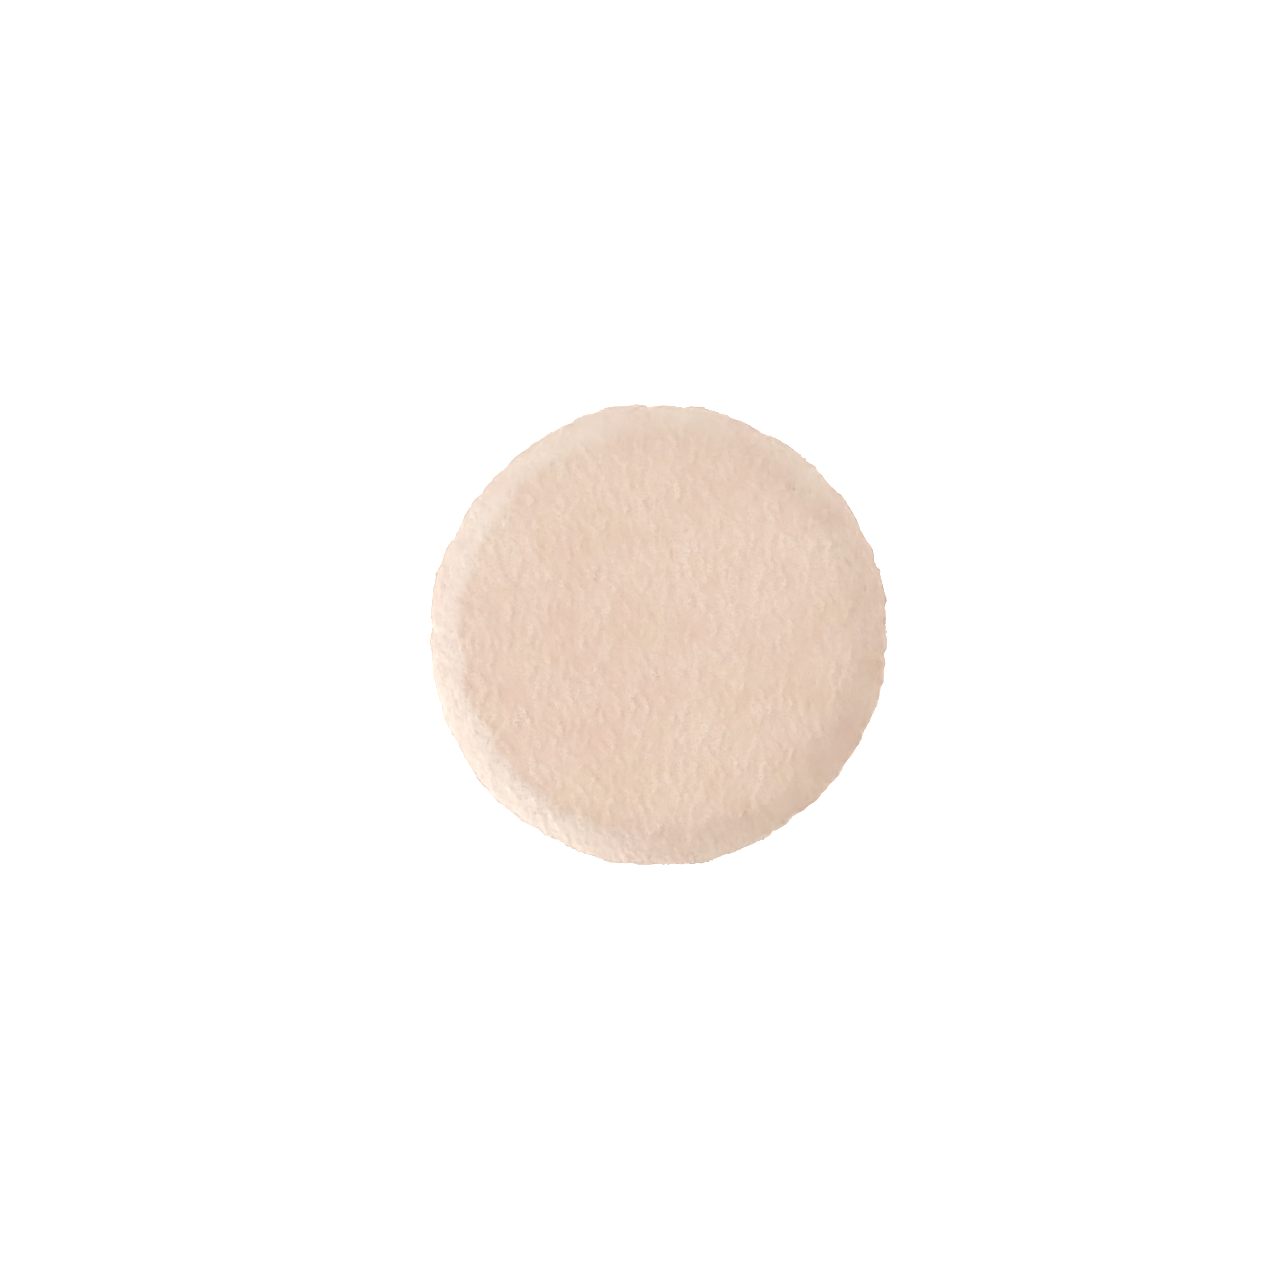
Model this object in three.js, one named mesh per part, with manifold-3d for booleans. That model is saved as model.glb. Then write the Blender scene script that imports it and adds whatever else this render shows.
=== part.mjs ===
// Round velour powder puff, millimetres, +Z up, lying on its back with the face up.
// Two velour panels are sewn right sides together, turned, filled with two foam plies
// and closed by hand. The seam allowances lie between the plies at half height.
import * as THREE from "three";
import { mergeVertices } from "three/addons/utils/BufferGeometryUtils.js";
import Module from "manifold-3d";

// Driving dimensions
const PUFF_DIAMETER = 60; // over the pile, at the fullest part of the rim
const VELOUR_THICKNESS = 1.6; // knitted ground and standing pile together
const FOAM_PLY_THICKNESS = 3; // one of the two plies, in the middle of the puff
const FACE_CROWN = 0.4; // rise of the face from its rim to its centre
const RIM_LIP_HEIGHT = 0.6; // from the seam's plane to the fullest part of the rim
const SEAM_DIP = 1.2; // how far the seam is drawn in from the rim
const SEAM_ALLOWANCE = 4; // cloth turned in past the bottom of the dip
const SEAM_PLY_THICKNESS = 0.8; // velour whose pile is crushed flat in the seam
const STITCH_INSET = 1.6; // from the bottom of the dip to the stitch line
const STITCH_LENGTH = 3.5;
const TURNING_GAP = 28; // stretch of the seam left open for turning, then closed by hand
const THREAD_DIAMETER = 0.2;
const THREAD_TAIL = 1; // free end of a thread past its last needle hole
const FOAM_STEP_RUN = 2.5; // width over which a ply bends back over the allowance

// Clearances
const LAYER_CLEARANCE = 0.2; // between cloth and foam, and between the two plies
const THREAD_CLEARANCE = 0.1; // round a thread

// Fineness of the facets
const ROUND_SEGMENTS = 40;
const CROWN_STEPS = 2;
const RIM_STEPS = 6;
const LIP_STEPS = 3;
const INNER_STEPS = 3;
const STEP_STEPS = 4;
const THREAD_SIDES = 5;

// Heights are measured from the seam's plane, on one half of the puff
const puffRadius = PUFF_DIAMETER / 2;
const foamTop = LAYER_CLEARANCE / 2 + FOAM_PLY_THICKNESS;
const halfDepth = foamTop + LAYER_CLEARANCE + VELOUR_THICKNESS;
const rimRadius = halfDepth - RIM_LIP_HEIGHT;
const flatRadius = puffRadius - rimRadius;

// The seam: the two allowances face to face, the stitch line in them and the thread over them
const seamRadius = puffRadius - SEAM_DIP;
const allowanceRadius = seamRadius - SEAM_ALLOWANCE;
const stitchRadius = seamRadius - STITCH_INSET;
const threadRadius = THREAD_DIAMETER / 2;
const threadHeight = SEAM_PLY_THICKNESS + THREAD_CLEARANCE + threadRadius;
const threadPitch = THREAD_DIAMETER + THREAD_CLEARANCE; // between two threads that cross
const legOffset = threadPitch / Math.SQRT2; // each way from a hole's centre to a thread in it
const holeHalfWidth = legOffset + threadRadius + THREAD_CLEARANCE;

const holeCount = Math.round((2 * Math.PI * stitchRadius) / STITCH_LENGTH);
const closingCount = Math.round(TURNING_GAP / STITCH_LENGTH);
const sewnCount = holeCount - closingCount;
const holeAngle = (index) => ((index + 0.5) * 2 * Math.PI) / holeCount;

const wasm = await Module();
wasm.setup();

// Cloth, foam and thread as they look in one colour each
const velour = () => new THREE.MeshStandardMaterial({ color: 0xe8cebb, roughness: 0.95, metalness: 0 });
const foam = () => new THREE.MeshStandardMaterial({ color: 0xf4ead6, roughness: 0.9, metalness: 0 });
const thread = () => new THREE.MeshStandardMaterial({ color: 0xe6c9b4, roughness: 0.7, metalness: 0 });

// The points of an arc in the radius and height plane, both ends included
function arc(centreRadius, centreHeight, radius, fromAngle, toAngle, steps) {
  return Array.from({ length: steps + 1 }, (_, step) => {
    const angle = fromAngle + ((toAngle - fromAngle) * step) / steps;
    return new THREE.Vector2(
      centreRadius + radius * Math.cos(angle),
      centreHeight + radius * Math.sin(angle),
    );
  });
}

// The domed stretch of one layer, from the axis outwards, without its outer end
function crownLine(height, crown) {
  return Array.from({ length: CROWN_STEPS }, (_, step) => {
    const share = step / CROWN_STEPS;
    return new THREE.Vector2(flatRadius * share, height + crown * (1 - share * share));
  });
}

// The rolled edge of one layer lying some depth under the pile's tips, from the given
// height up to the flat; under the arc's centre the edge goes straight down
function rolledEdge(depth, fromHeight) {
  const radius = rimRadius - depth;
  const sine = (fromHeight - RIM_LIP_HEIGHT) / radius;
  const edge = arc(flatRadius, RIM_LIP_HEIGHT, radius, Math.asin(Math.max(sine, 0)), Math.PI / 2, INNER_STEPS);
  return sine < 0 ? [new THREE.Vector2(flatRadius + radius, fromHeight), ...edge] : edge;
}

// The lip beside the seam: a quarter of an ellipse from the rim down to the bottom of the dip
function seamLip() {
  return Array.from({ length: LIP_STEPS }, (_, step) => {
    const angle = ((step + 1) / LIP_STEPS) * (Math.PI / 2);
    return new THREE.Vector2(
      puffRadius - SEAM_DIP * (1 - Math.cos(angle)),
      RIM_LIP_HEIGHT * (1 - Math.sin(angle)),
    );
  });
}

// A closed profile turned about the Z axis
function revolve(profile) {
  return new THREE.LatheGeometry(profile, ROUND_SEGMENTS).rotateX(Math.PI / 2);
}

// One geometry as a solid that can be cut
function solid(geometry) {
  const bare = geometry.clone();
  bare.deleteAttribute("normal");
  bare.deleteAttribute("uv");
  const merged = mergeVertices(bare);
  return new wasm.Manifold(new wasm.Mesh({
    numProp: 3,
    vertProperties: merged.attributes.position.array,
    triVerts: Uint32Array.from(merged.index.array),
  }));
}

// A cut solid as geometry again
function geometryOf(cut) {
  const { vertProperties, triVerts } = cut.getMesh();
  const geometry = new THREE.BufferGeometry();
  geometry.setAttribute("position", new THREE.BufferAttribute(vertProperties, 3));
  geometry.setIndex(new THREE.BufferAttribute(triVerts, 1));
  geometry.computeVertexNormals();
  return geometry;
}

// The needle hole at one place of the stitch line, as the block that it takes away
function needleHole(index) {
  const block = new THREE.BoxGeometry(2 * holeHalfWidth, 2 * holeHalfWidth, 2 * threadHeight);
  return solid(block.translate(stitchRadius, 0, 0).rotateZ(holeAngle(index)));
}

// One velour panel: crowned or flat face, rolled rim, lip, allowance turned in, needle holes
function velourPanel(name, crown) {
  const profile = [
    ...crownLine(halfDepth, crown),
    ...arc(flatRadius, RIM_LIP_HEIGHT, rimRadius, Math.PI / 2, 0, RIM_STEPS),
    ...seamLip(),
    new THREE.Vector2(allowanceRadius, 0),
    new THREE.Vector2(allowanceRadius, SEAM_PLY_THICKNESS),
    ...rolledEdge(VELOUR_THICKNESS, SEAM_PLY_THICKNESS),
    ...crownLine(halfDepth - VELOUR_THICKNESS, crown).reverse(),
  ];
  let panel = solid(revolve(profile.reverse()));
  for (let index = 0; index < holeCount; index += 1) {
    panel = panel.subtract(needleHole(index));
  }
  const mesh = new THREE.Mesh(geometryOf(panel), velour());
  mesh.name = name;
  return mesh;
}

// One foam ply: flat where it meets the other ply, bent back over the allowance at its edge
function foamPly(name, crown) {
  const stepOuter = allowanceRadius - LAYER_CLEARANCE;
  const stepRise = threadHeight + threadRadius + LAYER_CLEARANCE - LAYER_CLEARANCE / 2;
  const step = Array.from({ length: STEP_STEPS + 1 }, (_, at) => {
    const share = at / STEP_STEPS;
    const eased = (1 - Math.cos(Math.PI * share)) / 2;
    return new THREE.Vector2(
      stepOuter - FOAM_STEP_RUN * (1 - share),
      LAYER_CLEARANCE / 2 + stepRise * eased,
    );
  });
  const profile = [
    new THREE.Vector2(0, LAYER_CLEARANCE / 2),
    ...step,
    ...rolledEdge(VELOUR_THICKNESS + LAYER_CLEARANCE, LAYER_CLEARANCE / 2 + stepRise),
    ...crownLine(foamTop, crown).reverse(),
  ];
  const mesh = new THREE.Mesh(revolve(profile), foam());
  mesh.name = name;
  return mesh;
}

// A point beside the stitch line, from an angle on it, a way along and across it and a height
function besideStitch(angle, along, across, height) {
  const turned = angle + along / stitchRadius;
  const radius = stitchRadius + across;
  return new THREE.Vector3(radius * Math.cos(turned), radius * Math.sin(turned), height);
}

// A path through chosen stations, one step of the sweep from each to the next
class StationPath extends THREE.Curve {
  constructor(stations) {
    super();
    this.stations = stations;
  }

  getPoint(t, target = new THREE.Vector3()) {
    const last = this.stations.length - 1;
    const index = Math.min(Math.floor(t * last), last - 1);
    return target.lerpVectors(this.stations[index], this.stations[index + 1], t * last - index);
  }

  getPointAt(u, target) {
    return this.getPoint(u, target);
  }

  getTangentAt(u, target = new THREE.Vector3()) {
    const half = 0.5 / (this.stations.length - 1);
    const before = this.getPoint(Math.max(u - half, 0));
    return target.subVectors(this.getPoint(Math.min(u + half, 1)), before).normalize();
  }
}

// A thread swept through its stations
function sewingThread(name, stations) {
  const section = new THREE.Shape(Array.from({ length: THREAD_SIDES }, (_, side) => {
    const angle = (side * 2 * Math.PI) / THREAD_SIDES;
    return new THREE.Vector2(threadRadius * Math.cos(angle), threadRadius * Math.sin(angle));
  }));
  const sweep = { steps: stations.length - 1, extrudePath: new StationPath(stations) };
  const mesh = new THREE.Mesh(new THREE.ExtrudeGeometry(section, sweep), thread());
  mesh.name = name;
  return mesh;
}

// One thread of the lockstitch, on the face's side or the back's. In every hole it goes in on
// one diagonal and comes out on the other, under the loop of the second thread.
function lockstitchThread(name, side) {
  const stations = [besideStitch(holeAngle(0), -THREAD_TAIL, 0, side * threadHeight)];
  for (let index = 0; index < sewnCount; index += 1) {
    for (const [along, height] of [
      [-legOffset, threadHeight],
      [-legOffset, -threadPitch / 2],
      [legOffset, -threadPitch / 2],
      [legOffset, threadHeight],
    ]) {
      stations.push(besideStitch(holeAngle(index), along, -side * along, side * height));
    }
  }
  stations.push(besideStitch(holeAngle(sewnCount - 1), THREAD_TAIL, 0, side * threadHeight));
  return sewingThread(name, stations);
}

// The hand stitch over the turning gap, through the holes by turns downwards and upwards
function closingStitch(name) {
  const stations = [besideStitch(holeAngle(sewnCount), -THREAD_TAIL, 0, threadHeight)];
  let side = 1;
  for (let index = sewnCount; index < holeCount; index += 1) {
    stations.push(besideStitch(holeAngle(index), 0, 0, side * threadHeight));
    side = -side;
    stations.push(besideStitch(holeAngle(index), 0, 0, side * threadHeight));
  }
  stations.push(besideStitch(holeAngle(holeCount - 1), THREAD_TAIL, 0, side * threadHeight));
  return sewingThread(name, stations);
}

// Each half is built face up; the back half is the same half turned over, without a crown
const faceHalf = new THREE.Group();
faceHalf.add(velourPanel("face_panel", FACE_CROWN), foamPly("face_foam_ply", FACE_CROWN));

const backHalf = new THREE.Group();
backHalf.add(velourPanel("back_panel", 0), foamPly("back_foam_ply", 0));
backHalf.rotation.x = Math.PI;

const seam = new THREE.Group();
seam.add(
  lockstitchThread("needle_thread", 1),
  lockstitchThread("bobbin_thread", -1),
  closingStitch("closing_thread"),
);

const puff = new THREE.Group();
puff.add(faceHalf, backHalf, seam);
puff.position.z = halfDepth;

const powderPuff = new THREE.Group();
powderPuff.add(puff);
powderPuff.updateMatrixWorld(true);

export default powderPuff;
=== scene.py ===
"""Round velour powder puff: padded cloth covers with standing pile, foam filling and a turned, sewn seam."""

import math
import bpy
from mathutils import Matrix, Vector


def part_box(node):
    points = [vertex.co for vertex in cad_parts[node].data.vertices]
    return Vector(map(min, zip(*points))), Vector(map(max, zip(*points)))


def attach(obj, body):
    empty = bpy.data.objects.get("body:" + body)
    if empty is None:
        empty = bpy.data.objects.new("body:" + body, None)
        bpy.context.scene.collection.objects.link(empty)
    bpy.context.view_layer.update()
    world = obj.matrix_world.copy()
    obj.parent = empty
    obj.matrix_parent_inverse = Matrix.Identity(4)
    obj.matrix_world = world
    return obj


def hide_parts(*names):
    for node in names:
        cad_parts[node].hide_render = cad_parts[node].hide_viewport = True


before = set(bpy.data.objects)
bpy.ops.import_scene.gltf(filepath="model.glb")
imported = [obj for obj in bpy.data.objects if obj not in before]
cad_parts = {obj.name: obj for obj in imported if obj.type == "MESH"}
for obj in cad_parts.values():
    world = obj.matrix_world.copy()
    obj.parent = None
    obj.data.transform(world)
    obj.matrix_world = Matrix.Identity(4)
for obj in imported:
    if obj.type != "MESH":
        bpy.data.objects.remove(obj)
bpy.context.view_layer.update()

from types import SimpleNamespace

import bpy
import numpy as np
from bpy.props import FloatProperty, FloatVectorProperty, IntProperty, PointerProperty
from mathutils import Vector

bl_info = {
    "name": "Velour powder puff",
    "version": (1, 0, 0),
    "blender": (4, 5, 0),
    "location": "View3D > Sidebar > Puff",
    "description": "Builds a round velour powder puff with its pile, filling and seam",
    "category": "Object",
}

MM = 0.001
FACE_LOW, FACE_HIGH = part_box("face_panel")
FOAM_LOW, FOAM_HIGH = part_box("face_foam_ply")

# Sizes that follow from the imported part; those after HALF_DEPTH are measured from the seam's plane
PUFF_RADIUS = FACE_HIGH.x
SEAM_HEIGHT = FACE_LOW.z
TABLE_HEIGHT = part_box("back_panel")[0].z
HALF_DEPTH = SEAM_HEIGHT - TABLE_HEIGHT
FOAM_FOOT = FOAM_LOW.z - SEAM_HEIGHT
FOAM_CROWNS = {"face": FOAM_HIGH.z - SEAM_HEIGHT, "back": SEAM_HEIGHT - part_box("back_foam_ply")[0].z}
THREAD_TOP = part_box("needle_thread")[1].z - SEAM_HEIGHT

# A foam ply stays this far from the cover round it, and its edge this high over the seam, past the thread
FOAM_CLEARANCE = 0.2 * MM
FOAM_EDGE = THREAD_TOP + 0.2 * MM

# The two halves of the puff, and which way they face from the seam
HALVES = {"face": 1, "back": -1}

# Where each stretch of a cover ends, as a share of the way from its centre to its cut edge
CROWN_END = 0.5
RIM_END = 0.76
LIP_END = 0.88

# Shares of a cover from which the seam holds it, and at which its pile ends
HELD_FROM = LIP_END - 0.01
PILE_END = LIP_END - 0.02

# Squares of a grid from its middle to its edge, and steps of a profile that is measured
COVER_GRID = 48
FOAM_GRID = 30
PROFILE_STEPS = 2000

# The outline of the turned puff is a little out of round: waves round it, height in mm, first crest. They
# grow from this share of the cover to the rim
OUTLINE_WAVES = ((2, 0.12, 74), (4, 0.12, 4), (7, 0.06, 9), (12, 0.05, 15))
OUTLINE_START = 0.2

# The shoulder, where the face turns into the rim, lies a little further in or out round the puff, alike
SHOULDER_WAVES = ((5, 0.3, 50), (9, 0.3, 12), (16, 0.2, 4))
SHOULDER_START = CROWN_END - 0.1

# The face sinks from the first of these shares of the puff's radius to the second
SLUMP_START = 0.4
SLUMP_END = 0.95

# How far the rim's roll is from a quarter ellipse, which is 1, to a straight flank, which is 2
ROLL_FLANK = 1.6

# The cloth is simulated ten times larger, where the solver's own mass and stiffness suit it. It starts
# lower than it ends, and clings to the filling with a small share of the hold that the seam has on it
SWELL_SCALE = 10
SWELL_FRAMES = 20
SWELL_PRESSURE = 4.0
SWELL_HOLD = 0.15
SWELL_ROOM = 0.3 * MM
SWELL_CAP = 0.7 * MM

# Seeds of the strands and of their tufts, and the cells after which a random pattern repeats
RANDOM_SEED = 7403
TUFT_SEED = RANDOM_SEED + 3
PATTERN_CELLS = 128

# Shorter than any length here, to divide by where a length may be none
TINY = 1e-12


def linear(hex_code):
    """An sRGB hex colour as linear red, green, blue and alpha."""
    values = np.array([int(hex_code[i:i + 2], 16) for i in (1, 3, 5)]) / 255
    curve = np.where(values <= 0.04045, values / 12.92, ((values + 0.055) / 1.055) ** 2.4)
    return (*curve.tolist(), 1.0)


def length_property(name, description, millimetres):
    """A size in millimetres that a maker may change."""
    return FloatProperty(
        name=name, description=description, default=millimetres * MM, min=0, unit="LENGTH", precision=5)


def colour_property(name, description, hex_code):
    """A colour that a maker may change."""
    return FloatVectorProperty(
        name=name, description=description, default=linear(hex_code), subtype="COLOR", size=4, min=0, max=1)


class PuffSizes(bpy.types.PropertyGroup):
    """Sizes and counts of the puff that a maker would change."""

    pile_stand: length_property("Pile stand", "How far the free pile stands above its dense foot", 0.8)
    base_thickness: length_property("Base thickness", "Knitted ground and the dense foot of the pile", 0.75)
    rim_lip: length_property("Rim lip", "Height of the fullest part of the rim over the seam", 0.6)
    rim_roll: length_property(
        "Rim roll", "Width of the stretch that rolls over from the face to the rim", 5.0)
    slump: length_property("Slump", "How far the face has sunk at its lowest side", 1.1)
    slump_angle: FloatProperty(
        name="Slump angle", description="Side on which the face has sunk, counted from +X",
        default=math.radians(-45), subtype="ANGLE")
    seam_dip: length_property("Seam dip", "How far the ground is drawn in from the rim at the seam", 1.9)
    seam_allowance: length_property("Seam allowance", "Cloth turned in past the seam", 3.3)
    strand_width: length_property("Strand width", "Width of a strand of pile at its open end", 0.2)
    face_strands: IntProperty(
        name="Face strands", description="Strands of pile on the face and its half of the rim",
        default=285000, min=1000)
    back_strands: IntProperty(
        name="Back strands", description="Strands of pile on the back and its half of the rim",
        default=145000, min=1000)
    nap_angle: FloatProperty(
        name="Nap angle", description="Way that the pile is brushed, counted from +X",
        default=math.radians(111), subtype="ANGLE")
    nap_lean: FloatProperty(
        name="Nap lean", description="How far the pile leans along the nap, as a slope", default=0.1)
    foam_step: length_property("Foam step", "Width over which a ply bends back over the allowance", 2.5)
    stitch_length: length_property("Stitch length", "From one needle hole to the next", 3.5)
    stitch_inset: length_property("Stitch inset", "From the fullest part of the rim to the stitch line", 2.8)
    turning_gap: length_property("Turning gap", "Stretch of the seam that is closed by hand", 28)
    thread_width: length_property("Thread width", "Width of the sewing thread", 0.2)
    thread_tail: length_property("Thread tail", "Free end of a thread past its last needle hole", 1.0)


class PuffColours(bpy.types.PropertyGroup):
    """Colours of the puff that a maker would change."""

    pile_rosy: colour_property("Pile, rosy", "Colour of the strands that took the dye more pink", "#E4C3AE")
    pile_light: colour_property("Pile, light", "Colour of the palest strands", "#FCF0E5")
    pile_golden: colour_property("Pile, golden", "Colour of the strands that took it more yellow", "#E3C5AB")
    # The foot's deeper colour is painted shade down in the pile and under it
    pile_foot_shade: colour_property("Pile foot", "Colour of the dense foot of the pile", "#EBCEBA")
    foam: colour_property("Foam", "Colour of the foam filling", "#F4EAD6")
    thread: colour_property("Thread", "Colour of the sewing thread", "#E6C9B4")


def unit(vectors):
    """The vectors of an array, each one unit long."""
    return vectors / np.maximum(np.linalg.norm(vectors, axis=-1, keepdims=True), TINY)


def turned(first, second, turns):
    """The directions that lie some turns round from one direction towards a second at right angles to it:
    the first times the turn's cosine and the second times its sine."""
    return first * np.cos(turns)[..., None] + second * np.sin(turns)[..., None]


def stretch(share, start, end):
    """How far share has come on the stretch from start to end, from 0 to 1."""
    return np.clip((share - start) / (end - start), 0, 1)


def eased(way):
    """A way from 0 to 1 that starts and ends level: three times its square less twice its cube."""
    return way * way * (3 - 2 * way)


def lobe(angle, middle):
    """One broad lobe round the puff, 1 in its middle and 0 opposite: the sixth power of the cosine of half
    the angle from its middle."""
    return np.cos((angle - middle) / 2) ** 6


def soft_noise(x, y, hills):
    """Smooth random hills from -1 to 1, given by their width and the seed of their pattern: random heights
    one width apart along x and y, eased from each to the next."""
    width, seed = hills
    x, y = x / width, y / width
    table = np.random.default_rng(seed).uniform(-1, 1, (PATTERN_CELLS, PATTERN_CELLS))
    i, j = np.floor(x).astype(int), np.floor(y).astype(int)
    a, b = eased(x - i), eased(y - j)
    i, j, next_i, next_j = (cell % PATTERN_CELLS for cell in (i, j, i + 1, j + 1))
    low = table[i, j] * (1 - a) + table[next_i, j] * a
    high = table[i, next_j] * (1 - a) + table[next_i, next_j] * a
    return low * (1 - b) + high * b


def wrapped_square(count):
    """A square grid bent so that its squares become circles: for each grid point the share of the way
    from the centre to the edge, which is the larger of |x| and |y|, and the angle round the centre,
    which runs evenly along each side of its square."""
    line = np.linspace(-1, 1, 2 * count + 1)
    x, y = np.meshgrid(line, line, indexing="ij")
    share = np.maximum(np.abs(x), np.abs(y))
    sideways = np.abs(x) >= np.abs(y)
    longer = np.where(sideways, x, y)
    ratio = np.where(sideways, y, -x) / np.where(longer == 0, 1, longer)
    angle = math.pi / 4 * ratio + np.where(sideways, 0, math.pi / 2) + np.where(longer < 0, math.pi, 0)
    return share, angle


def square_place(share, angle):
    """The grid point of wrapped_square that has this share and angle, as x and y from -1 to 1."""
    quarter = np.floor((angle + math.pi / 4) / (math.pi / 2))
    along = share * (angle - quarter * math.pi / 2) * 4 / math.pi
    quarter = quarter.astype(int) % 4
    x = np.choose(quarter, [share, -along, -share, along])
    y = np.choose(quarter, [along, share, -along, -share])
    return x, y


def sampled(grid, x, y):
    """The values of a square grid at points x, y from -1 to 1, straight between grid points."""
    last = grid.shape[0] - 1
    across, up = (x + 1) / 2 * last, (y + 1) / 2 * last
    i = np.clip(np.floor(across).astype(int), 0, last - 1)
    j = np.clip(np.floor(up).astype(int), 0, last - 1)
    a, b = (across - i)[:, None], (up - j)[:, None]
    low = grid[i, j] * (1 - a) + grid[i + 1, j] * a
    high = grid[i, j + 1] * (1 - a) + grid[i + 1, j + 1] * a
    return low * (1 - b) + high * b


def rolled(turn):
    """The rim's roll, for a turn from none to a right angle: how far it has come across, and how far it
    still is up, as shares. A power of sine and cosine, between a quarter ellipse and a straight flank."""
    return np.sin(turn) ** ROLL_FLANK, np.maximum(np.cos(turn), 0) ** ROLL_FLANK


def cover_profile(sizes, share, depth):
    """Radius and height over the seam of a cover's skin that lies some depth under the pile's tips, before
    it swells. From the centre out: a flat round, the roll over the rim, a quarter ellipse down into the
    seam, and the flat allowance turned in."""
    flat_radius = PUFF_RADIUS - sizes.rim_roll
    across = sizes.rim_roll - depth
    up = HALF_DEPTH - SWELL_ROOM - sizes.rim_lip - depth
    way = stretch(share, 0, CROWN_END)
    out, over = rolled(stretch(share, CROWN_END, RIM_END) * math.pi / 2)
    drop = stretch(share, RIM_END, LIP_END) * math.pi / 2
    inward = stretch(share, LIP_END, 1)
    lip_radius = flat_radius + across - (PUFF_RADIUS - sizes.seam_dip)
    lip_height = sizes.rim_lip - max(depth - sizes.pile_stand, 0)
    radius = flat_radius * way + across * out
    radius = radius - lip_radius * (1 - np.cos(drop)) - sizes.seam_allowance * inward
    return radius, sizes.rim_lip + up * over - lip_height * np.sin(drop)


def sunk(sizes, radius, angle, height, side):
    """Heights over the seam after the face has sunk on one side: a lobe round that side, eased in from
    the middle of the face to its rim, in full on the face and none at the seam."""
    ease = eased(stretch(radius, SLUMP_START * PUFF_RADIUS, SLUMP_END * PUFF_RADIUS))
    return height * (1 - sizes.slump / HALF_DEPTH * lobe(angle, sizes.slump_angle) * ease * (side > 0))


def waves_round(angle, waves):
    """The sum of cosine waves round the puff, in metres. Each has its count, its height in mm and a crest."""
    return sum(height * MM * np.cos(count * (angle - math.radians(crest))) for count, height, crest in waves)


def out_of_round(share, angle):
    """How far the turned outline stands out from a true circle: a few waves round the puff, none at
    its centre and in full at its rim."""
    return waves_round(angle, OUTLINE_WAVES) * stretch(share, OUTLINE_START, RIM_END) ** 2


def uneven_shoulder(sizes, share, angle):
    """Shares moved a little further in or out round the shoulder: the shoulder's waves as a share of the
    face, in full in the middle of the shoulder and eased to none on the face and at the rim's edge."""
    way = stretch(share, SHOULDER_START, RIM_END)
    face_radius = (PUFF_RADIUS - sizes.rim_roll) / CROWN_END
    return share + waves_round(angle, SHOULDER_WAVES) / face_radius * np.sin(math.pi * way) ** 2


def placed(radius, angle, height, side):
    """Points of a half of the puff from radius, angle and height over the seam, in metres."""
    x, y, z = radius * np.cos(angle), radius * np.sin(angle), SEAM_HEIGHT + side * height
    return np.stack(np.broadcast_arrays(x, y, z), -1)


def cover_points(sizes, share, angle, depth, side):
    """Points of a cover's skin some depth under the pile's tips: the profile turned round the middle,
    sunk on one side and drawn out of round."""
    radius = cover_profile(sizes, share, depth)[0]
    height = cover_profile(sizes, uneven_shoulder(sizes, share, angle), depth)[1]
    height = sunk(sizes, radius, angle, height, side)
    return placed(radius + out_of_round(share, angle), angle, height, side).reshape(-1, 3)


def unrolled(sizes, share):
    """How far along the cover each share lies from its centre, in metres."""
    line = np.linspace(0, 1, PROFILE_STEPS)
    radius, height = cover_profile(sizes, line, sizes.pile_stand)
    way = np.concatenate([[0], np.cumsum(np.hypot(np.diff(radius), np.diff(height)))])
    return np.interp(share, line, way)


def grid_quads(size):
    """The four corners of each square of a square grid of points, counter-clockwise seen from +Z."""
    index = np.arange(size * size).reshape(size, size)
    return np.stack([index[:-1, :-1], index[1:, :-1], index[1:, 1:], index[:-1, 1:]], -1).reshape(-1, 4)


def shell_faces(size, side):
    """Faces of a closed shell from two square grids, the outer one first, joined round their edges."""
    quads = grid_quads(size)
    index = np.arange(size * size).reshape(size, size)
    loop = np.concatenate([index[:-1, 0], index[-1, :-1], index[:0:-1, -1], index[0, :0:-1]])
    following = np.roll(loop, -1)
    rim = np.stack([following, loop, loop + size * size, following + size * size], -1)
    faces = np.concatenate([quads, quads[:, ::-1] + size * size, rim])
    return faces[:, ::side]


def mesh_object(name, points, faces):
    """A smooth mesh object from an array of points and an array of faces with as many corners each."""
    mesh = bpy.data.meshes.new(name)
    mesh.vertices.add(len(points))
    mesh.vertices.foreach_set("co", points.astype(np.float32).ravel())
    mesh.loops.add(faces.size)
    mesh.loops.foreach_set("vertex_index", faces.astype(np.int32).ravel())
    mesh.polygons.add(len(faces))
    mesh.polygons.foreach_set("loop_start", np.arange(0, faces.size, faces.shape[1], dtype=np.int32))
    mesh.polygons.foreach_set("use_smooth", np.ones(len(faces), dtype=bool))
    mesh.update(calc_edges=True)
    piece = bpy.data.objects.new(name, mesh)
    bpy.context.scene.collection.objects.link(piece)
    return piece


def lay_map(piece, name, places, faces):
    """Gives a piece a UV map from a place for each of its points."""
    layer = piece.data.uv_layers.new(name=name)
    layer.data.foreach_set("uv", places[faces.ravel()].astype(np.float32).ravel())


def points_of(mesh):
    """The points of a mesh as an array."""
    points = np.empty(len(mesh.vertices) * 3, np.float32)
    mesh.vertices.foreach_get("co", points)
    return points.reshape(-1, 3).astype(float)


def add_node(tree, kind, inputs, **settings):
    """A shader node with its settings, and its inputs set to values or linked to other sockets."""
    node = tree.nodes.new(kind)
    for name, value in settings.items():
        setattr(node, name, value)
    for name, value in inputs.items():
        if isinstance(value, bpy.types.NodeSocket):
            tree.links.new(value, node.inputs[name])
        else:
            node.inputs[name].default_value = value
    return node


def new_material(name):
    """An empty material and its node tree."""
    material = bpy.data.materials.new(name)
    material.use_nodes = True
    material.node_tree.nodes.clear()
    return material, material.node_tree


# Inputs and output of a Mix node that mixes colours
MIX_FACTOR, MIX_FIRST, MIX_SECOND, MIX_RESULT = 0, 6, 7, 2


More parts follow.
